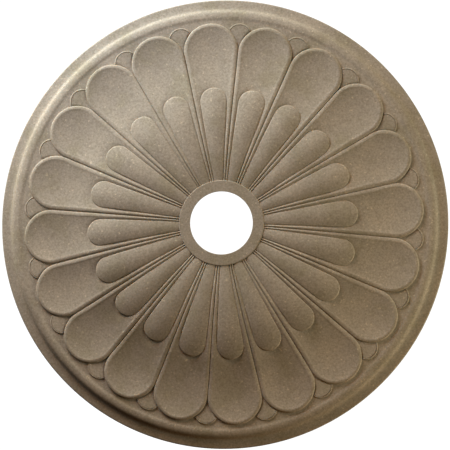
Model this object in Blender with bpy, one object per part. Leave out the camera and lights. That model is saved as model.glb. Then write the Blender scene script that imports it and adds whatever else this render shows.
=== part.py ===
"""Ceiling rose: one moulding with twenty scooped petals, a raised tongue in each, and a lamp hole.

The rose is drawn as it hangs. Its flat back lies on the plane z = 0, where the ceiling is, and its
relief faces down, so a relief height of h above the back is the world height z = -h. The middle of
the back is the origin, and one petal points along +X.
"""
import math

import bmesh
import bpy
import numpy as np
from mathutils import Vector
from mathutils.geometry import delaunay_2d_cdt

# Whole moulding
ROSE_DIAMETER = 0.680
PROJECTION = 0.035       # from the back to the crown of the tongues, the farthest point
HOLE_DIAMETER = 0.095
HOLE_FLARE = 0.006       # the hole's wall leans out this much on its way to the back
EDGE_HEIGHT = 0.0055     # height of the outermost edge above the back

# Flat ring round the hole
RING_WIDTH = 0.017
RING_HEIGHT = 0.0333
RING_DRAFT = 0.0004      # how far the ring's side leans outwards
PETALS = 20

# Petals: a scoop inside a rounded edge, with a sharp groove where two edges meet
RIM_WIDTH = 0.0355       # from a petal's tip to the outer edge
EDGE_DEPTH = 0.0018      # fall from an edge's crest to the groove
EDGE_INNER_SHARE = 0.5   # width of the edge's inner side, as a share of its outer side
EDGE_FALL_AT_RING = 0.0005  # fall of the edge's inner side
EDGE_FALL_AT_TIP = 0.0001
SCOOP_CURVE = 1.3        # the scoop's depth for its width

# Raised tongue inside each petal
TONGUE_LENGTH = 0.1415   # from the ring to the tongue's rounded end
TONGUE_ANGLE = 12.5      # degrees between the tongue's two sides
TONGUE_CURVE = 2.2       # the tongue's arch across for its width
TONGUE_STEP = 0.0006     # least height of the tongue's edge over the scoop
TONGUE_STEP_RUN = 0.0025   # width of that steep step
CROWN_RADIUS = 0.107     # the tongues are highest here

# Long profiles, as distance from the rose's axis, height and slope outwards
PETAL_CREST = ((0.0645, 0.0326, 0.060), (0.1060, 0.0344, 0.0), (0.2070, 0.0243, -0.185),
               (0.2430, 0.0183, -0.105), (0.2680, 0.0168, -0.020), (0.3045, 0.0163, 0.0))
TONGUE_CREST = ((0.0645, 0.0326, 0.100), (CROWN_RADIUS, PROJECTION, 0.0), (0.2060, 0.0240, -0.320))
# Distance from a petal's outline in to its crest, in the same way
CREST_INSET = ((0.0645, 0.0018, 0.024), (0.1825, 0.0046, 0.026), (0.2300, 0.0058, 0.006),
               (0.3045, 0.0045, -0.020))

# Small leaf tip showing between two petals
LEAF_RADIUS = 0.0173
LEAF_SETBACK = 0.0010    # its crest stops this far short of the petals' tips
LEAF_BEAD_WIDTH = 0.0026
LEAF_BEAD_HEIGHT = 0.0013
LEAF_RISE = 0.0010       # its floor lies this far over the ground
LEAF_TILT = 0.03         # and rises outwards

# Rim outside the petals, as distances in from the outer edge and heights above the back
GROUND_SETBACK, GROUND_HEIGHT = 0.0315, 0.0134
ROLL_SETBACK, ROLL_HEIGHT = 0.0272, 0.0142
SHOULDER_SETBACK, SHOULDER_HEIGHT = 0.0190, 0.0127
COVE_SETBACK, COVE_HEIGHT = 0.0140, 0.0082
FILLET_SETBACK, FILLET_HEIGHT = 0.0025, 0.0064

# How finely curves are divided
SEGMENTS_PER_PETAL = 8   # outer circle and rim
RING_SEGMENTS = 4        # ring and hole, for each petal
FLANK_ROWS = 7           # straight sides of a petal
EDGE_SHARES = (1 + EDGE_INNER_SHARE, 1.0, 0.3)  # lines along a petal's edge, as shares of its crest's inset
TIP_SEGMENTS = 6         # half of a petal's round end
TONGUE_SEGMENTS = 4      # half of a tongue's round end
LEAF_SEGMENTS = 3        # half of a leaf's round end

FINISH_COLOR = (0.33, 0.28, 0.22, 1.0)
FINISH_ROUGHNESS = 0.85

OUTER_RADIUS = ROSE_DIAMETER / 2
HOLE_RADIUS = HOLE_DIAMETER / 2
RING_RADIUS = HOLE_RADIUS + RING_WIDTH
PETAL_REACH = OUTER_RADIUS - RIM_WIDTH
TONGUE_REACH = RING_RADIUS + TONGUE_LENGTH
HALF_PITCH = math.pi / PETALS
MERGE = 0.00001


class RoundEnded:
    """A tapering shape along +X: straight sides at `angle` to the axis, closed by a tangent arc.

    Its sides lie `inset` inside the rays from the centre at that angle, and it reaches `reach`.
    """

    def __init__(self, angle, inset, reach):
        self.angle, self.inset = angle, inset
        self.centre = (reach + inset) / (1 + math.sin(angle))
        self.radius = reach - self.centre

    def distance(self, x, y):
        """How far each point lies outside the outline; negative inside. For points with y >= 0."""
        side = y * math.cos(self.angle) - x * math.sin(self.angle) + self.inset
        end = np.hypot(x - self.centre, y) - self.radius
        past = (x - self.centre) * math.cos(self.angle) + y * math.sin(self.angle) > 0
        return np.where(past, end, side)

    def side_point(self, radius, offset):
        """The point at a distance from the rose's centre, on the side moved out by offset."""
        turn = self.angle - math.asin((self.inset - offset) / radius)
        return radius * math.cos(turn), radius * math.sin(turn)

    def side_end(self):
        """How far from the rose's centre the straight side meets the round end."""
        x = self.centre - self.radius * math.sin(self.angle)
        return math.hypot(x, self.radius * math.cos(self.angle))

    def end_turns(self, segments):
        """Angles round the middle of the round end, from the side to the axis."""
        return even(math.pi / 2 + self.angle, 0, segments)

    def end_point(self, turn, offset):
        """The point at that angle on the round end moved out by offset."""
        reach = self.radius + offset
        return self.centre + reach * math.cos(turn), reach * math.sin(turn)


def arc(radius, angles):
    return [(radius * math.cos(a), radius * math.sin(a)) for a in angles]


def even(first, last, count):
    return list(np.linspace(first, last, count + 1))


PETAL = RoundEnded(HALF_PITCH, 0.0, PETAL_REACH)
TONGUE = RoundEnded(math.radians(TONGUE_ANGLE) / 2, 0.0, TONGUE_REACH)
LEAF_CENTRE = PETAL_REACH - LEAF_SETBACK - LEAF_RADIUS


def leaf_distance(x, y):
    """How far each point lies outside the leaf's circle, whose centre is between two petals."""
    cx, cy = LEAF_CENTRE * math.cos(HALF_PITCH), LEAF_CENTRE * math.sin(HALF_PITCH)
    return np.hypot(x - cx, y - cy) - LEAF_RADIUS


def hermite(knots, at):
    """Smooth curve through knots of place, height and slope, level before the first and past the last."""
    place, height, slope = np.array(knots).T
    at = np.clip(at, place[0], place[-1])
    i = np.clip(np.searchsorted(place, at, side="right") - 1, 0, len(place) - 2)
    run, rise = place[i + 1] - place[i], height[i + 1] - height[i]
    t, start, end = (at - place[i]) / run, slope[i] * run, slope[i + 1] * run
    return height[i] + t * start + t ** 2 * (3 * rise - 2 * start - end) + t ** 3 * (start + end - 2 * rise)


def rim_height(radius):
    """Height of the plain moulding outside the petals, from its ground out to the edge."""
    setbacks = [0.0, FILLET_SETBACK, COVE_SETBACK, SHOULDER_SETBACK, ROLL_SETBACK, GROUND_SETBACK]
    heights = [EDGE_HEIGHT, FILLET_HEIGHT, COVE_HEIGHT, SHOULDER_HEIGHT, ROLL_HEIGHT, GROUND_HEIGHT]
    return np.interp(OUTER_RADIUS - radius, setbacks, heights)


def half_round(share):
    """Height of a half-round profile of unit height, at a share of its half width from the middle."""
    return np.sqrt(np.clip(1 - share ** 2, 0, 1))


def eased(share):
    """Half a cosine wave from 0 to 1."""
    return (1 - np.cos(math.pi * np.clip(share, 0, 1))) / 2


def scoop_depth(x, radius, inset):
    """Depth under the crest: a parabola across the petal, running into a bowl in its round end."""
    reach = PETAL.radius - inset
    bowl_start = np.hypot(PETAL.centre - reach * math.sin(PETAL.angle), reach * math.cos(PETAL.angle))
    side = radius * np.cos(PETAL.angle - np.arcsin(inset / radius))
    bowl = (radius ** 2 + PETAL.centre ** 2 - reach ** 2) / (2 * PETAL.centre)
    return SCOOP_CURVE * np.maximum(x - np.where(radius < bowl_start, side, bowl), 0)


def tongue_height(x, radius, depth, floor):
    """Arch across the tongue's crest, ending in a steep step down to the floor."""
    top = np.maximum(hermite(TONGUE_CREST, radius) - TONGUE_CURVE * (radius - x), floor + TONGUE_STEP)
    return floor + (top - floor) * np.clip(depth / TONGUE_STEP_RUN, 0, 1)


def petal_height(x, y, radius):
    """Height inside a petal's outline: its rounded edge, its scoop and the tongue in it."""
    crest, inset = hermite(PETAL_CREST, radius), hermite(CREST_INSET, radius)
    depth = -PETAL.distance(x, y)
    share = (radius - RING_RADIUS) / (PETAL_REACH - RING_RADIUS)
    fall = EDGE_FALL_AT_RING + (EDGE_FALL_AT_TIP - EDGE_FALL_AT_RING) * share
    fall *= eased((depth - inset) / (EDGE_INNER_SHARE * inset))
    floor = crest - fall - scoop_depth(x, radius, inset)
    inside = tongue_height(x, radius, -TONGUE.distance(x, y), floor)
    return np.where(depth > inset, inside, crest - EDGE_DEPTH * (1 - half_round(1 - depth / inset)))


def ground_height(x, y, radius):
    """Height outside the petals: the rim, with each leaf's bead and tilted floor in it."""
    ground, leaf, half = rim_height(radius), leaf_distance(x, y), LEAF_BEAD_WIDTH / 2
    floor = GROUND_HEIGHT + LEAF_RISE + LEAF_TILT * (radius - LEAF_CENTRE)
    bead = ground + LEAF_BEAD_HEIGHT * half_round(leaf / half)
    return np.where(leaf < -half, floor, np.where(leaf < half, bead, ground))


def relief_height(x, y):
    """Height of the face above the back, for points of half a petal's sector with y >= 0."""
    radius = np.hypot(x, y)
    inside = PETAL.distance(x, y) <= MERGE
    height = np.where(inside, petal_height(x, y, radius), ground_height(x, y, radius))
    return np.where(radius <= RING_RADIUS - RING_DRAFT / 2, RING_HEIGHT, height)


def circle_crossing(radius):
    """Angle, seen from the leaf's centre, at which its circle of that radius meets the petal."""
    cx, cy = LEAF_CENTRE * math.cos(HALF_PITCH), LEAF_CENTRE * math.sin(HALF_PITCH)
    apart = math.hypot(cx - PETAL.centre, cy)
    cosine = (apart ** 2 + radius ** 2 - PETAL.radius ** 2) / (2 * apart * radius)
    return math.atan2(-cy, PETAL.centre - cx) + math.acos(min(1.0, max(-1.0, cosine)))


def leaf_arc(offset):
    """The part of the leaf's circle, moved out by offset, from the petal to the mid line."""
    radius = LEAF_RADIUS + offset
    cx, cy = LEAF_CENTRE * math.cos(HALF_PITCH), LEAF_CENTRE * math.sin(HALF_PITCH)
    turns = even(circle_crossing(radius), HALF_PITCH, LEAF_SEGMENTS)
    return [(cx + radius * math.cos(t), cy + radius * math.sin(t)) for t in turns]


def petal_line(share):
    """The petal's outline moved in by a share of its crest's distance."""
    rows = even(RING_RADIUS, PETAL.side_end(), FLANK_ROWS)[:-1]
    line = [PETAL.side_point(r, -share * hermite(CREST_INSET, r)) for r in rows]
    for turn in PETAL.end_turns(TIP_SEGMENTS):
        inset = hermite(CREST_INSET, math.hypot(*PETAL.end_point(turn, 0.0)))
        line.append(PETAL.end_point(turn, -share * inset))
    return line


def tongue_line(offset):
    """The tongue's outline moved out by offset."""
    rows = even(RING_RADIUS, PETAL.side_end(), FLANK_ROWS)
    line = [TONGUE.side_point(r, offset) for r in rows if r < TONGUE.side_end() - TONGUE.radius / 4]
    return line + [TONGUE.end_point(turn, offset) for turn in TONGUE.end_turns(TONGUE_SEGMENTS)]


def loose_points():
    """Points on the two open surfaces: along the tongue's crest and in the scoop beyond it."""
    crest = even(RING_RADIUS, CROWN_RADIUS, 2)[1:] + even(CROWN_RADIUS, TONGUE.centre, 4)[1:]
    bed = even(TONGUE_REACH, PETAL_REACH, 5)[1:-1]
    slopes = [(r, r * math.sin(HALF_PITCH) / 2) for r in bed[:-1]]
    return [(r, 0.0) for r in crest], [(r, 0.0) for r in bed], slopes


def half_sector_plan():
    """Triangles, in plan, of half a petal's sector, with an edge along every line of the carving."""
    rim = [OUTER_RADIUS - s for s in (
        GROUND_SETBACK, ROLL_SETBACK, SHOULDER_SETBACK, COVE_SETBACK, FILLET_SETBACK, 0.0)]
    fine = even(0, HALF_PITCH, SEGMENTS_PER_PETAL // 2)
    coarse = even(0, HALF_PITCH, RING_SEGMENTS // 2)
    lines = [arc(r, fine) for r in rim]
    lines += [arc(HOLE_RADIUS, coarse), arc(RING_RADIUS - RING_DRAFT, coarse)]
    carved = [petal_line(share) for share in EDGE_SHARES]
    carved += [tongue_line(offset) for offset in (0.0, -TONGUE_STEP_RUN)]
    lines += carved + [petal_line(0)[FLANK_ROWS:]]
    half_leaf = LEAF_BEAD_WIDTH / 2
    lines += [leaf_arc(offset) for offset in (-half_leaf, 0.0, half_leaf)]
    crest, bed, slopes = loose_points()

    feet = {round(math.atan2(line[0][1], line[0][0]), 9) for line in carved}
    lines.append(arc(RING_RADIUS, sorted({0.0, HALF_PITCH} | feet)))

    rows = even(RING_RADIUS, PETAL.side_end(), FLANK_ROWS)
    middle = [r for r in even(PETAL.side_end(), LEAF_CENTRE + LEAF_RADIUS - half_leaf, 2)]
    mid_radii = sorted({round(r, 9) for r in (
        [HOLE_RADIUS, RING_RADIUS - RING_DRAFT] + rows + middle + rim
        + [LEAF_CENTRE + LEAF_RADIUS + o for o in (-half_leaf, 0.0, half_leaf)])})
    axis_radii = sorted({round(r, 9) for r in (
        [HOLE_RADIUS, RING_RADIUS - RING_DRAFT, RING_RADIUS] + [p[0] for p in crest + bed] + rim
        + [line[-1][0] for line in carved] + [PETAL_REACH])})
    lines.append([(r, 0.0) for r in axis_radii])
    lines.append([(r * math.cos(HALF_PITCH), r * math.sin(HALF_PITCH)) for r in mid_radii])
    return triangulate(lines, slopes)


def triangulate(lines, points):
    """Joins the lines and points into triangles, leaving out what lies in the lamp hole."""
    coords, edges = [], []
    for line in lines:
        start = len(coords)
        coords += [Vector(p) for p in line]
        edges += [(start + i, start + i + 1) for i in range(len(line) - 1)]
    coords += [Vector(p) for p in points]
    found = delaunay_2d_cdt(coords, edges, [], 0, MERGE)
    plan = np.array([tuple(v) for v in found[0]])
    faces = np.array([f for f in found[2]])
    corners = plan[faces]
    middles = corners.mean(axis=1)
    turns = np.arctan2(middles[:, 1], middles[:, 0])
    step = 2 * math.pi / (PETALS * RING_SEGMENTS)
    chord = HOLE_RADIUS * math.cos(step / 2) / np.cos(turns % step - step / 2)
    first, second = corners[:, 1] - corners[:, 0], corners[:, 2] - corners[:, 0]
    area = np.abs(first[:, 0] * second[:, 1] - first[:, 1] * second[:, 0]) / 2
    longest = np.linalg.norm(corners - np.roll(corners, 1, axis=1), axis=2).max(axis=1)
    kept = (np.hypot(middles[:, 0], middles[:, 1]) > chord) & (area > MERGE * longest / 2)
    return plan, faces[kept]


def turned(plan, heights, faces, angle, mirrored):
    """One copy of the half sector as 3-D points and faces, turned about the rose's axis."""
    x, y = plan[:, 0], -plan[:, 1] if mirrored else plan[:, 1]
    c, s = math.cos(angle), math.sin(angle)
    points = np.column_stack((x * c - y * s, x * s + y * c, heights))
    return points, faces[:, ::-1] if mirrored else faces


def carved_face():
    """The whole face as points and triangles, relief up, from copies of half a petal's sector."""
    plan, faces = half_sector_plan()
    heights = relief_height(plan[:, 0], plan[:, 1])
    points, triangles, count = [], [], 0
    for petal in range(PETALS):
        for mirrored in (False, True):
            part, tris = turned(plan, heights, faces, 2 * HALF_PITCH * petal, mirrored)
            points.append(part)
            triangles.append(tris + count)
            count += len(part)
    return np.concatenate(points), np.concatenate(triangles)


def closed_body(points, triangles):
    """Closes the carved face into a solid: walls down to a flat back at height 0, the hole's flared."""
    body = bmesh.new()
    verts = [body.verts.new(p) for p in points]
    for a, b, c in triangles.tolist():
        body.faces.new((verts[a], verts[b], verts[c]))
    bmesh.ops.remove_doubles(body, verts=body.verts, dist=MERGE)
    rims = [e for e in body.edges if e.is_boundary]
    grown = bmesh.ops.extrude_edge_only(body, edges=rims)["geom"]
    feet = [g for g in grown if isinstance(g, bmesh.types.BMVert)]
    for foot in feet:
        flare = 1 + HOLE_FLARE / HOLE_RADIUS if foot.co.xy.length < RING_RADIUS else 1
        foot.co = foot.co.x * flare, foot.co.y * flare, 0.0
    base = [g for g in grown if isinstance(g, bmesh.types.BMEdge) and g.is_boundary]
    bmesh.ops.triangle_fill(body, edges=base, use_beauty=True, normal=(0, 0, -1))
    bmesh.ops.triangulate(body, faces=body.faces)
    bmesh.ops.recalc_face_normals(body, faces=body.faces)
    return body


def finish_material():
    material = bpy.data.materials.new("sandy_paint")
    material.use_nodes = True
    shader = material.node_tree.nodes["Principled BSDF"]
    shader.inputs["Base Color"].default_value = FINISH_COLOR
    shader.inputs["Roughness"].default_value = FINISH_ROUGHNESS
    shader.inputs["Metallic"].default_value = 0.0
    return material


def ceiling_rose():
    """The moulding as one object, turned over so that its relief hangs down from the ceiling."""
    body = closed_body(*carved_face())
    for vert in body.verts:
        vert.co.y, vert.co.z = -vert.co.y, -vert.co.z
    mesh = bpy.data.meshes.new("ceiling_rose")
    body.to_mesh(mesh)
    body.free()
    mesh.materials.append(finish_material())
    mesh.shade_smooth()
    mesh.set_sharp_from_angle(angle=math.radians(30))
    rose = bpy.data.objects.new("ceiling_rose", mesh)
    bpy.context.scene.collection.objects.link(rose)


for old in list(bpy.data.objects):
    bpy.data.objects.remove(old, do_unlink=True)
ceiling_rose()
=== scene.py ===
"""Dresses the ceiling rose: a moulded foam disc painted sandy taupe, hanging face down from z = 0."""

import math

import bmesh
import bpy
import numpy as np
from mathutils import Matrix, Vector


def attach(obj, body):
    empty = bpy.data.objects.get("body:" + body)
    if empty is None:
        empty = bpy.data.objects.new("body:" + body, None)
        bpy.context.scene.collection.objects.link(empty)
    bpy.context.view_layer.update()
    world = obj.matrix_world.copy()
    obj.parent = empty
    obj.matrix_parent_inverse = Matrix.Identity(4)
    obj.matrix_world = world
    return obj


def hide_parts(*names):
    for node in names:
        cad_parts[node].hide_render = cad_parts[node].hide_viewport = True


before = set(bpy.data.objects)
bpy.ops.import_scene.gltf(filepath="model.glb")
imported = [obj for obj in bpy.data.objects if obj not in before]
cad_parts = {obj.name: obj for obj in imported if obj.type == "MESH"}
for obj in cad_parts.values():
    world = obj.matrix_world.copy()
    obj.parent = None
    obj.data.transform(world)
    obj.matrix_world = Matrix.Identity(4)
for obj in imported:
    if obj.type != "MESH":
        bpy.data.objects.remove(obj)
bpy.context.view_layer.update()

# Ceiling rose
# One moulding of dense foam, cast face down: twenty scooped petals with rounded edges, a raised tongue in
# each, leaf tips between them, a flat ring round the lamp hole and a rolled rim. Its flat back is glued to
# the ceiling. Sizes are in metres, and heights are above the back.

ROSE_DIAMETER = 0.680
RING_HEIGHT = 0.0333
HOLE_DIAMETER = 0.095
# The hole's wall leans out by the flare on its way to the back
HOLE_FLARE = 0.006
EDGE_HEIGHT = 0.0055
RING_WIDTH = 0.017
RING_DRAFT = 0.0004
PETALS = 20
RIM_WIDTH = 0.0355
# Crests of the petals' edges and of the tongues: distance from the axis, height, slope outward
PETAL_CREST = ((0.0645, 0.0326, 0.060), (0.1060, 0.0344, 0.0), (0.2070, 0.0243, -0.185),
               (0.2430, 0.0183, -0.105), (0.2680, 0.0168, -0.020), (0.3045, 0.0163, 0.0))
TONGUE_CREST = ((0.0645, 0.0326, 0.100), (0.1070, 0.0350, 0.0), (0.2060, 0.0240, -0.320))
# Distance from a petal's outline in to its crest, at distances from the axis
CREST_INSET = ((0.0645, 0.0018, 0.024), (0.1825, 0.0046, 0.026), (0.2300, 0.0058, 0.006),
               (0.3045, 0.0045, -0.020))
# A petal's rounded edge falls by the depth outward, to a V groove, and by the fall on its inner side
EDGE_DEPTH = 0.0018
EDGE_INNER_SHARE = 0.5
EDGE_FALL_AT_RING = 0.0005
EDGE_FALL_AT_TIP = 0.0001
EDGE_FOOT_RUN = 0.0014
EDGE_GROOVE = 0.0010
EDGE_GROOVE_RUN = 0.0009
SCOOP_CURVE = 1.3
TONGUE_LENGTH = 0.1415
TONGUE_ANGLE = 12.5
TONGUE_CURVE = 2.2
TONGUE_STEP = 0.0006
TONGUE_STEP_RUN = 0.0014
TONGUE_GROOVE = 0.0006
TONGUE_GROOVE_RUN = 0.0016
LEAF_RADIUS = 0.0173
LEAF_SETBACK = 0.0010
LEAF_BEAD_WIDTH = 0.0026
LEAF_BEAD_HEIGHT = 0.0013
LEAF_RISE = 0.0010
LEAF_TILT = 0.03
# Rim profile: distance in from the outer edge, height, and slope of the height going outwards
RIM_PROFILE = (
    (0.0006, 0.00600, -0.60), (0.0025, 0.00640, -0.10), (0.0110, 0.00750, -0.20),
    (0.0138, 0.00830, -0.45), (0.0160, 0.01015, -1.30), (0.0187, 0.01260, -0.52),
    (0.0230, 0.01385, -0.14), (0.0272, 0.01420, 0.00), (0.0315, 0.01340, 0.00))
GROUND_HEIGHT = RIM_PROFILE[-1][1]

OUTER_RADIUS = ROSE_DIAMETER / 2
HOLE_RADIUS = HOLE_DIAMETER / 2
RING_RADIUS = HOLE_RADIUS + RING_WIDTH
PETAL_REACH = OUTER_RADIUS - RIM_WIDTH
HALF_LEAF = LEAF_BEAD_WIDTH / 2
TONGUE_REACH = RING_RADIUS + TONGUE_LENGTH
GROUND_RADIUS = OUTER_RADIUS - RIM_PROFILE[-1][0]
HALF_PITCH = math.pi / PETALS
# Lengths under this count as none
SLIVER = 1e-7


class RoundEnded:
    """A tapering shape along +X: two straight sides at an angle to X, closed by a tangent arc."""

    def __init__(self, angle, reach):
        self.angle = angle
        self.centre = reach / (1 + math.sin(angle))
        self.radius = reach - self.centre
        self.side_end = math.hypot(self.centre - self.radius * math.sin(angle), self.radius * math.cos(angle))

    def distance(self, x, y):
        """Signed distance outside the outline, for y >= 0: to the side's line, or past it to the arc."""
        side = y * math.cos(self.angle) - x * math.sin(self.angle)
        end = np.hypot(x - self.centre, y) - self.radius
        past = (x - self.centre) * math.cos(self.angle) + y * math.sin(self.angle) > 0
        return np.where(past, end, side)

    def side(self, radius, offset):
        """Points at these distances from the rose's centre, on the side moved out by the offset."""
        turn = self.angle + np.arcsin(offset / radius)
        return np.stack((radius * np.cos(turn), radius * np.sin(turn)), axis=-1)

    def end(self, turn, offset):
        """Points at these angles round the end arc's centre, on the arc moved out by the offset."""
        reach = self.radius + offset
        return np.stack((self.centre + reach * np.cos(turn), reach * np.sin(turn)), axis=-1)


PETAL = RoundEnded(HALF_PITCH, PETAL_REACH)
TONGUE = RoundEnded(math.radians(TONGUE_ANGLE) / 2, TONGUE_REACH)
LEAF_CENTRE = PETAL_REACH - LEAF_SETBACK - LEAF_RADIUS
LEAF = LEAF_CENTRE * np.array((math.cos(HALF_PITCH), math.sin(HALF_PITCH)))


def hermite(knots, at):
    """Cubic Hermite curve through knots of place, height and slope, held level beyond both ends."""
    place, height, slope = np.array(knots).T
    at = np.clip(at, place[0], place[-1])
    i = np.clip(np.searchsorted(place, at, side="right") - 1, 0, len(place) - 2)
    run, rise = place[i + 1] - place[i], height[i + 1] - height[i]
    t, start, end = (at - place[i]) / run, slope[i] * run, slope[i + 1] * run
    return height[i] + t * start + t ** 2 * (3 * rise - 2 * start - end) + t ** 3 * (start + end - 2 * rise)


def rim_height(radius):
    """Hermite curve through the rim's profile, level inside its ground."""
    return hermite([(s, h, -slope) for s, h, slope in RIM_PROFILE], OUTER_RADIUS - radius)


def half_round(share):
    """Circle's profile of unit height: the root of one less the share's square."""
    return np.sqrt(np.clip(1 - share ** 2, 0, 1))


def eased(share):
    """Half a cosine wave from 0 to 1 over shares from 0 to 1, level beyond them."""
    return (1 - np.cos(math.pi * np.clip(share, 0, 1))) / 2


def scoop_depth(x, radius, inset):
    """Depth under a petal's crest: a parabola across the petal, running into a bowl in its round end."""
    reach = PETAL.radius - inset
    bowl_start = np.hypot(PETAL.centre - reach * math.sin(PETAL.angle), reach * math.cos(PETAL.angle))
    side = radius * np.cos(PETAL.angle - np.arcsin(inset / radius))
    bowl = (radius ** 2 + PETAL.centre ** 2 - reach ** 2) / (2 * PETAL.centre)
    return SCOOP_CURVE * np.maximum(x - np.where(radius < bowl_start, side, bowl), 0)


def tongue_height(x, radius, outside, floor):
    """Parabola across the tongue's crest, stepping down by a quarter round to the grooved floor."""
    floor = floor - TONGUE_GROOVE * (1 - np.clip(outside / TONGUE_GROOVE_RUN, 0, 1))
    top = np.maximum(hermite(TONGUE_CREST, radius) - TONGUE_CURVE * (radius - x), floor + TONGUE_STEP)
    return floor + (top - floor) * half_round(1 - np.clip(-outside / TONGUE_STEP_RUN, 0, 1))


def petal_face(plan):
    """Height inside a petal's outline: its rounded edge with a V groove at its foot, its scoop and tongue."""
    x, y = plan[..., 0], plan[..., 1]
    radius = np.hypot(x, y)
    crest, inset = hermite(PETAL_CREST, radius), hermite(CREST_INSET, radius)
    depth = -PETAL.distance(x, y)
    share = (radius - RING_RADIUS) / (PETAL_REACH - RING_RADIUS)
    fall = EDGE_FALL_AT_RING + (EDGE_FALL_AT_TIP - EDGE_FALL_AT_RING) * share
    floor = crest - fall * eased((depth - inset) / (EDGE_INNER_SHARE * inset)) - scoop_depth(x, radius, inset)
    inside = tongue_height(x, radius, TONGUE.distance(x, y), floor)
    groove = EDGE_GROOVE * (1 - np.clip(depth / EDGE_GROOVE_RUN, 0, 1))
    edge = crest - EDGE_DEPTH * (1 - half_round(1 - depth / inset)) - groove
    return np.where(depth > inset, inside, edge)


def ground_face(plan):
    """Height outside the petals: the rim's curve, with each leaf tip's bead and tilted floor in it.

    Along a petal's outline it rises from the foot of the petal's edge over half a cosine wave.
    """
    x, y = plan[..., 0], plan[..., 1]
    radius = np.hypot(x, y)
    leaf = np.hypot(x - LEAF[0], y - LEAF[1]) - LEAF_RADIUS
    ground = rim_height(radius)
    floor = GROUND_HEIGHT + LEAF_RISE + LEAF_TILT * (radius - LEAF_CENTRE)
    bead = ground + LEAF_BEAD_HEIGHT * half_round(leaf / HALF_LEAF)
    height = np.where(leaf < -HALF_LEAF - SLIVER, floor, np.where(leaf < HALF_LEAF, bead, ground))
    foot = hermite(PETAL_CREST, radius) - EDGE_DEPTH - EDGE_GROOVE
    return foot + (height - foot) * eased(PETAL.distance(x, y) / EDGE_FOOT_RUN)


def polar_blend(first, last, shares, centre=(0.0, 0.0)):
    """Points between two lines, at shares of the way in distance and in angle from the centre."""
    first, last = first - np.array(centre), last - np.array(centre)
    reach = [np.hypot(p[:, 0], p[:, 1])[:, None] for p in (first, last)]
    turn = [np.arctan2(p[:, 1], p[:, 0])[:, None] for p in (first, last)]
    share = np.asarray(shares)[None, :]
    r = reach[0] + (reach[1] - reach[0]) * share
    a = turn[0] + (turn[1] - turn[0]) * share
    return np.stack((r * np.cos(a), r * np.sin(a)), axis=-1) + np.array(centre)


FLANK_ROWS, SHOULDER_ROWS, LEAF_FLOOR_ROWS, RIM_COLUMNS = 14, 10, 10, 10
# Lines along a leaf's bead: seven over it, one just inside it and one a little outside
LEAF_LINES, LINE_INSIDE, LINE_OUTSIDE = 7, 0.00012, 0.0008
leaf_offsets = np.concatenate((
    [-HALF_LEAF - LINE_INSIDE], -HALF_LEAF * np.cos(np.linspace(0, math.pi, LEAF_LINES)),
    [HALF_LEAF + LINE_OUTSIDE]))
leaf_reach = LEAF_RADIUS + leaf_offsets

# Angles round the petal's end arc at which a leaf's arcs run into the petal's edge
apart = math.hypot(LEAF[0] - PETAL.centre, LEAF[1])
leaf_turns = math.atan2(LEAF[1], LEAF[0] - PETAL.centre) - np.arccos(
    (PETAL.radius ** 2 + apart ** 2 - leaf_reach ** 2) / (2 * PETAL.radius * apart))
start_turn = math.pi / 2 + PETAL.angle
petal_turns = np.concatenate((
    np.linspace(start_turn, leaf_turns[0], LEAF_FLOOR_ROWS + 1)[1:-1], leaf_turns,
    np.linspace(leaf_turns[-1], 0, RIM_COLUMNS + 2)[1:]))

# Rows out along the petal's and the tongue's straight sides, then round their ends. The tongue's first rows
# of the end stop at its middle angle, and the rest follow the petal's.
flank = np.linspace(RING_RADIUS, TONGUE.side_end, FLANK_ROWS)
shoulder = np.linspace(TONGUE.side_end, PETAL.side_end, SHOULDER_ROWS + 1)[1:]
tongue_mid = math.radians(55)
tongue_turns = np.concatenate((
    np.linspace(math.pi / 2 + TONGUE.angle, tongue_mid, SHOULDER_ROWS + 1)[1:],
    tongue_mid * petal_turns / start_turn))


def tongue_line(offset):
    """The tongue's outline moved out by the offset, one point for each row."""
    return np.concatenate((TONGUE.side(flank, offset), TONGUE.end(tongue_turns, offset)))


def petal_line(share):
    """The petal's outline moved in by a share of its crest's distance, one point for each row."""
    sides = np.concatenate((flank, shoulder))
    end = PETAL.end(petal_turns, 0.0)
    inset = hermite(CREST_INSET, np.hypot(end[:, 0], end[:, 1]))
    return np.concatenate((
        PETAL.side(sides, -share * hermite(CREST_INSET, sides)), PETAL.end(petal_turns, -share * inset)))


# The middle line runs out to a share of the tongue's round end
MIDDLE_SHARE = 0.55
axis_x = np.concatenate((flank, np.linspace(
    TONGUE.side_end, TONGUE.centre + MIDDLE_SHARE * TONGUE.radius, len(tongue_turns) + 1)[1:]))
axis_line = np.stack((axis_x, np.zeros_like(axis_x)), axis=-1)
tongue_edge = [tongue_line(o)[:, None] for o in (
    -0.0020, -0.0014, -0.0009, -0.0005, -0.0002, -0.00005, 0.0)]
edge_lines = [petal_line(s)[:, None] for s in (
    1.5, 1.38, 1.25, 1.12, 1.0, 0.75, 0.55, 0.38, 0.24, 0.13, 0.06, 0.02, 0.0)]
petal_plan = np.concatenate(
    [polar_blend(axis_line, tongue_edge[0][:, 0], (0, .28, .52, .72, .88))] + tongue_edge
    + [polar_blend(tongue_edge[-1][:, 0], edge_lines[0][:, 0], (.05, .15, .32, .52, .72, .88, .97))]
    + edge_lines, axis=1)
petal_plan[-1, :, 1] = 0.0

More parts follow.
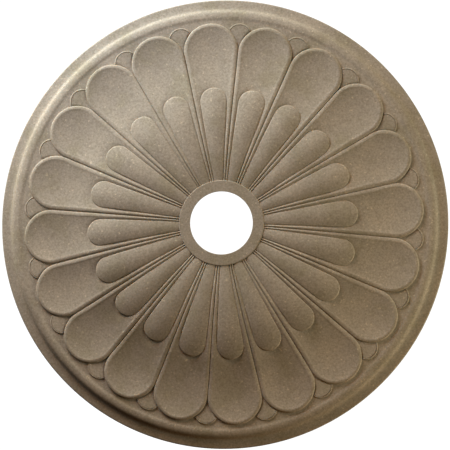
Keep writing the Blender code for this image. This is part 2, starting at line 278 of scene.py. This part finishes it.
# Ground outside the petal's end: rows run to the line between petals, then to the ground's circle
outer_edge = petal_line(0)[len(flank) + SHOULDER_ROWS - 1:]
between = np.array((math.cos(HALF_PITCH), math.sin(HALF_PITCH)))
leaf_ends = np.concatenate((
    np.linspace(PETAL.side_end, LEAF_CENTRE + leaf_reach[0], LEAF_FLOOR_ROWS + 1)[:-1],
    LEAF_CENTRE + leaf_reach))
rim_turns = np.linspace(HALF_PITCH, 0, RIM_COLUMNS + 1)
ground_circle = GROUND_RADIUS * np.stack((np.cos(rim_turns), np.sin(rim_turns)), axis=-1)
outer_ends = np.concatenate((leaf_ends[:, None] * between, ground_circle))
# Rows bow round the leaf's centre, the first ones little by little from straight lines
shares = (0, .02, .1, .25, .45, .7, 1)
bowed = polar_blend(outer_edge, outer_ends, shares, LEAF)
straight = outer_edge[:, None] + (outer_ends - outer_edge)[:, None] * np.array(shares)[None, :, None]
row = np.arange(LEAF_FLOOR_ROWS)[:, None, None]
bow = (bowed - straight)[LEAF_FLOOR_ROWS]
ground_plan = bowed.copy()
ground_plan[:LEAF_FLOOR_ROWS] = straight[:LEAF_FLOOR_ROWS] + (row / LEAF_FLOOR_ROWS) ** 2 * bow
ground_plan[-1, :, 1] = 0.0


def grid(points):
    """Faces between neighbouring rows and columns of a grid of points, as points and quads."""
    rows, cols = points.shape[:2]
    corner = np.arange(rows - 1)[:, None] * cols + np.arange(cols - 1)[None, :]
    quads = np.stack((corner, corner + 1, corner + cols + 1, corner + cols), axis=-1)
    return points.reshape(-1, 3), quads.reshape(-1, 4)


def lifted(plan, heights):
    """Plan points with their heights."""
    return np.concatenate((plan, np.broadcast_to(heights, plan.shape[:2])[..., None]), axis=-1)


def turned_profile(profile, turns):
    """A profile of radius and height carried round the axis through the angles."""
    radius, height = np.array(profile).T[:, :, None]
    plan = np.stack((radius * np.cos(turns), radius * np.sin(turns)), axis=-1)
    return lifted(plan, height)


def zipped(first, last):
    """Triangles that join two arcs of points, each edge to the nearest point of the other arc."""
    a, b = (np.arctan2(p[:, 1], p[:, 0]) for p in (first, last))
    mid_a, mid_b = (a[1:] + a[:-1]) / 2, (b[1:] + b[:-1]) / 2
    order = 1 if a[-1] > a[0] else -1
    to_b = np.searchsorted(order * mid_b, order * mid_a) + len(first)
    to_a = np.searchsorted(order * mid_a, order * mid_b, side="right")
    i, j = np.arange(len(a) - 1), np.arange(len(b) - 1) + len(first)
    faces = np.concatenate((np.stack((i, i + 1, to_b), axis=-1), np.stack((j, to_a, j + 1), axis=-1)))
    return np.concatenate((first, last)), faces


EDGE_ROUND, ROUND_POINTS = 0.0004, 4


def softened(radius, height, start, end):
    """Quarter round of a sharp edge about a point, from one angle to the other, in degrees."""
    turns = np.radians(np.linspace(start, end, ROUND_POINTS))
    return [(radius + EDGE_ROUND * math.cos(t), height + EDGE_ROUND * math.sin(t)) for t in turns]


face = lifted(petal_plan, petal_face(petal_plan))
ground_height = ground_face(ground_plan)
ground_height[:, 0] = petal_face(ground_plan)[:, 0]
ground_height[0] = ground_height[0, 0]
ground = lifted(ground_plan, ground_height)

# Side of the ring, rising from the carving with a little draft to its rounded edge
ROUND_FOOT = 0.0012
columns = np.arctan2(face[0, :, 1], face[0, :, 0])
ring_side = turned_profile(
    softened(RING_RADIUS - RING_DRAFT - EDGE_ROUND, RING_HEIGHT - EDGE_ROUND, 0, 90)
    + [(RING_RADIUS - RING_DRAFT - ROUND_FOOT, RING_HEIGHT)], columns)
ring_side = np.concatenate((face[:1], ring_side))

# The ring's face, the hole's wall, the back and the outer edge, then the rim in to the ground
RING_ROW, HOLE_ROW = 0.004, 0.005
WALL_HEIGHTS, BACK_RADII, EDGE_ROW = (0.026, 0.018, 0.010), (0.0560, 0.1000, 0.1900, 0.3380), 0.0003
even_turns = rim_turns[::-1]
hole = turned_profile(
    [(RING_RADIUS - RING_ROW, RING_HEIGHT), (HOLE_RADIUS + HOLE_ROW, RING_HEIGHT),
     (HOLE_RADIUS + ROUND_FOOT, RING_HEIGHT)]
    + softened(HOLE_RADIUS + EDGE_ROUND, RING_HEIGHT - EDGE_ROUND, 90, 180)
    + [(HOLE_RADIUS + HOLE_FLARE * (1 - h / RING_HEIGHT), h) for h in WALL_HEIGHTS]
    + softened(HOLE_RADIUS + HOLE_FLARE + EDGE_ROUND, EDGE_ROUND, 180, 270)
    + [(r, 0.0) for r in BACK_RADII]
    + softened(OUTER_RADIUS - EDGE_ROUND, EDGE_ROUND, -90, 0)
    + [(OUTER_RADIUS, EDGE_HEIGHT / 2), (OUTER_RADIUS, EDGE_HEIGHT - EDGE_ROW)], even_turns)
# The rim's rows, as distances in from the outer edge
setbacks = np.array((
    .0006, .0010, .0016, .0025, .0045, .0070, .0095, .0115, .0130, .0140, .0150, .0158,
    .0166, .0175, .0185, .0195, .0206, .0220, .0236, .0255, .0275, .0295, .0315))
rim_radii = OUTER_RADIUS - setbacks
rim = turned_profile(list(zip(rim_radii, rim_height(rim_radii))), even_turns)
hole = np.concatenate((hole, rim))

patches = [grid(face), grid(ground), grid(ring_side), zipped(ring_side[-1], hole[0]), grid(hole)]


def whole_rose(patches):
    """Half a petal's sector mirrored, turned to every petal and turned over to face down."""
    points, faces, count = [], [], 0
    for spot, quads in patches:
        for mirrored in (1, -1):
            for petal in range(PETALS):
                a = 2 * HALF_PITCH * petal
                spin = np.array(((math.cos(a), -math.sin(a), 0), (-math.sin(a), -math.cos(a), 0), (0, 0, -1)))
                points.append(spot * (1, mirrored, 1) @ spin.T)
                faces += (quads + count).tolist()
                count += len(spot)
    return np.concatenate(points), faces


MERGE_DISTANCE, SHARP_ANGLE = 2e-6, math.radians(38)
points, faces = whole_rose(patches)
mesh = bpy.data.meshes.new("moulded_rose")
mesh.from_pydata(points.tolist(), [], faces)
shell = bmesh.new()
shell.from_mesh(mesh)
bmesh.ops.remove_doubles(shell, verts=shell.verts, dist=MERGE_DISTANCE)
bmesh.ops.dissolve_degenerate(shell, edges=shell.edges, dist=SLIVER)
bmesh.ops.recalc_face_normals(shell, faces=shell.faces)
shell.to_mesh(mesh)
shell.free()
mesh.shade_smooth()
mesh.set_sharp_from_angle(angle=SHARP_ANGLE)
rose = bpy.data.objects.new("moulded_rose", mesh)
bpy.context.scene.collection.objects.link(rose)

# The paint: sand-grained taupe, with faint blotches and light specks. Scales are noise cells in a metre.
SAND_COLOUR = (0.42, 0.352, 0.272, 1)
BLOTCH_SCALE, DULLNESS_SCALE, SPECK_SCALE, GRAIN_SCALE, BUMP_SCALE = 22.0, 60.0, 260.0, 330.0, 420.0
BUMP_STRENGTH, BUMP_HEIGHT = 0.35, 0.0004

paint = bpy.data.materials.new("sandy_paint")
paint.use_nodes = True
paint_nodes, paint_links = paint.node_tree.nodes, paint.node_tree.links
shader = paint_nodes["Principled BSDF"]
place = paint_nodes.new("ShaderNodeTexCoord").outputs["Object"]


def noise(scale, detail, roughness):
    """Noise value from 0 to 1 over the object's own coordinates."""
    node = paint_nodes.new("ShaderNodeTexNoise")
    node.inputs["Scale"].default_value = scale
    node.inputs["Detail"].default_value = detail
    node.inputs["Roughness"].default_value = roughness
    paint_links.new(place, node.inputs["Vector"])
    return node.outputs["Fac"]


def ramp(value, stops):
    """Colours set at places along the value, blended between them."""
    node = paint_nodes.new("ShaderNodeValToRGB")
    elements = node.color_ramp.elements
    elements[0].position, elements[0].color = stops[0][0], (*stops[0][1], 1)
    elements[1].position, elements[1].color = stops[-1][0], (*stops[-1][1], 1)
    for position, colour in stops[1:-1]:
        elements.new(position).color = (*colour, 1)
    paint_links.new(value, node.inputs["Fac"])
    return node.outputs["Color"]


def multiplied(first, second):
    """Colours multiplied together, through the mix node's colour sockets: 6 and 7 in, 2 out."""
    node = paint_nodes.new("ShaderNodeMix")
    node.data_type, node.blend_type = "RGBA", "MULTIPLY"
    node.inputs[0].default_value = 1.0
    paint_links.new(second, node.inputs[7])
    if isinstance(first, tuple):
        node.inputs[6].default_value = first
    else:
        paint_links.new(first, node.inputs[6])
    return node.outputs[2]


blotches = ramp(noise(BLOTCH_SCALE, 3.0, 0.55), (
    (0.34, (0.90, 0.90, 0.83)), (0.5, (1.0, 1.0, 1.0)), (0.68, (1.10, 1.09, 1.07))))
grain = ramp(noise(GRAIN_SCALE, 3.0, 0.7), (
    (0.30, (0.76, 0.75, 0.71)), (0.5, (1.0, 1.0, 1.0)), (0.70, (1.22, 1.22, 1.20))))
specks = ramp(noise(SPECK_SCALE, 1.0, 0.5), ((0.66, (1.0, 1.0, 1.0)), (0.76, (1.45, 1.45, 1.36))))
colour = multiplied(multiplied(multiplied(SAND_COLOUR, blotches), grain), specks)
paint_links.new(colour, shader.inputs["Base Color"])

dullness = ramp(noise(DULLNESS_SCALE, 2.0, 0.5), ((0.3, (0.78, 0.78, 0.78)), (0.7, (0.92, 0.92, 0.92))))
paint_links.new(dullness, shader.inputs["Roughness"])
shader.inputs["Specular IOR Level"].default_value = 0.25

bump = paint_nodes.new("ShaderNodeBump")
bump.inputs["Strength"].default_value = BUMP_STRENGTH
bump.inputs["Distance"].default_value = BUMP_HEIGHT
paint_links.new(noise(BUMP_SCALE, 3.0, 0.6), bump.inputs["Height"])
paint_links.new(bump.outputs["Normal"], shader.inputs["Normal"])
mesh.materials.append(paint)
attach(rose, "root")
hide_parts("ceiling_rose")

# Floor
# A plain pale floor of dull paint, well under the camera, so that only views from above show it. It isn't
# part of the rose, and sends no light up to the relief.
FLOOR_DEPTH, FLOOR_HALF = 6.6, 80.0
floor_mesh = bpy.data.meshes.new("floor")
floor_mesh.from_pydata([(sx * FLOOR_HALF, sy * FLOOR_HALF, -FLOOR_DEPTH) for sx, sy in (
    (-1, -1), (1, -1), (1, 1), (-1, 1))], [], [(0, 1, 2, 3)])
floor = bpy.data.objects.new("floor", floor_mesh)
bpy.context.scene.collection.objects.link(floor)
floor_paint = bpy.data.materials.new("pale_floor")
floor_paint.use_nodes = True
floor_paint.node_tree.nodes["Principled BSDF"].inputs["Base Color"].default_value = (0.7, 0.7, 0.69, 1)
floor_paint.node_tree.nodes["Principled BSDF"].inputs["Roughness"].default_value = 0.9
floor_mesh.materials.append(floor_paint)
floor.visible_diffuse = False

# Camera
# It looks up at the rose from below, a few degrees off its axis, with the petal of +X turned
# 4 degrees up from the right of the picture.
CAMERA_DISTANCE, LENS, SENSOR = 6.0, 316.9, 36.0
TILT_RIGHT, TILT_UP = math.radians(6.9), math.radians(-3.3)
PETAL_TURN = math.radians(3.95)
PICTURE_PIXELS = 450
SHIFT_X, SHIFT_Y = 0.95 / PICTURE_PIXELS, -0.85 / PICTURE_PIXELS
outward = Vector((0, 0, -1))
picture_right = Vector((math.cos(PETAL_TURN), math.sin(PETAL_TURN), 0))
picture_up = Vector((math.sin(PETAL_TURN), -math.cos(PETAL_TURN), 0))
back = (outward * math.cos(TILT_RIGHT) * math.cos(TILT_UP)
        + picture_right * math.sin(TILT_RIGHT) * math.cos(TILT_UP) + picture_up * math.sin(TILT_UP))
right = picture_up.cross(back).normalized()
camera_data = bpy.data.cameras.new("camera")
camera_data.lens, camera_data.sensor_width = LENS, SENSOR
camera_data.shift_x, camera_data.shift_y = SHIFT_X, SHIFT_Y
camera_data.clip_end = 200.0
camera = bpy.data.objects.new("camera", camera_data)
turn = Matrix((right, back.cross(right), back)).transposed()
camera.matrix_world = Matrix.Translation(back * CAMERA_DISTANCE) @ turn.to_4x4()
bpy.context.scene.collection.objects.link(camera)
bpy.context.scene.camera = camera

# Light
# Low soft lights graze the relief from the upper left, cooler close by, with a fill from the right and two
# faint warm ones below. Soft light from straight above falls on the back and the floor, not on the relief.
LIGHTS = (  # name, angle in the picture, angle below the rose's plane, distance, power, size, colour
    ("upper_left_low", 120, 9, 1.8, 29.4, 0.7, (0.67, 0.99, 1.0)),
    ("upper_left_warm", 120, 18, 1.8, 22.0, 0.7, (1.0, 0.38, 0.0)),
    ("left_near", 150, 18, 0.9, 2.6, 0.35, (0.93, 0.98, 1.0)),
    ("upper_left_near", 120, 18, 0.9, 4.0, 0.35, (0.21, 0.57, 1.0)),
    ("right_fill", 0, 18, 1.8, 15.1, 0.7, (1.0, 0.94, 0.75)),
    ("lower_right_near", -30, 18, 0.9, 0.43, 0.35, (1.0, 0.9, 0.44)),
    ("lower_near", -60, 18, 0.9, 0.38, 0.35, (1.0, 0.37, 0.0)))
for name, angle, rise, distance, power, size, colour in LIGHTS:
    around, rise = math.radians(angle), math.radians(rise)
    direction = ((picture_right * math.cos(around) + picture_up * math.sin(around)) * math.cos(rise)
                 + outward * math.sin(rise))
    lamp = bpy.data.lights.new(name, "AREA")
    lamp.energy, lamp.size, lamp.color = power, size, colour
    lamp_object = bpy.data.objects.new(name, lamp)
    lamp_object.visible_camera = False
    lamp_object.matrix_world = Matrix.Translation(direction * distance) @ (
        direction.to_track_quat("Z", "Y").to_matrix().to_4x4())
    bpy.context.scene.collection.objects.link(lamp_object)

OVERHEAD_POWER, OVERHEAD_SPREAD = 2.6, math.radians(30)
overhead = bpy.data.lights.new("overhead", "SUN")
overhead.energy, overhead.angle = OVERHEAD_POWER, OVERHEAD_SPREAD
bpy.context.scene.collection.objects.link(bpy.data.objects.new("overhead", overhead))

# The room is white where the camera sees it, and sends no light of its own
world = bpy.data.worlds.new("pale_room")
world.use_nodes = True
bpy.context.scene.world = world
nodes, links = world.node_tree.nodes, world.node_tree.links
nodes.clear()
seen = nodes.new("ShaderNodeBackground")
seen.inputs["Color"].default_value = (1, 1, 1, 1)
seen.inputs["Strength"].default_value = 1.1
lighting = nodes.new("ShaderNodeBackground")
lighting.inputs["Strength"].default_value = 0.0
path = nodes.new("ShaderNodeLightPath")
mix = nodes.new("ShaderNodeMixShader")
out = nodes.new("ShaderNodeOutputWorld")
links.new(path.outputs["Is Camera Ray"], mix.inputs[0])
links.new(lighting.outputs[0], mix.inputs[1])
links.new(seen.outputs[0], mix.inputs[2])
links.new(mix.outputs[0], out.inputs["Surface"])
bpy.context.scene.view_settings.view_transform = "Standard"
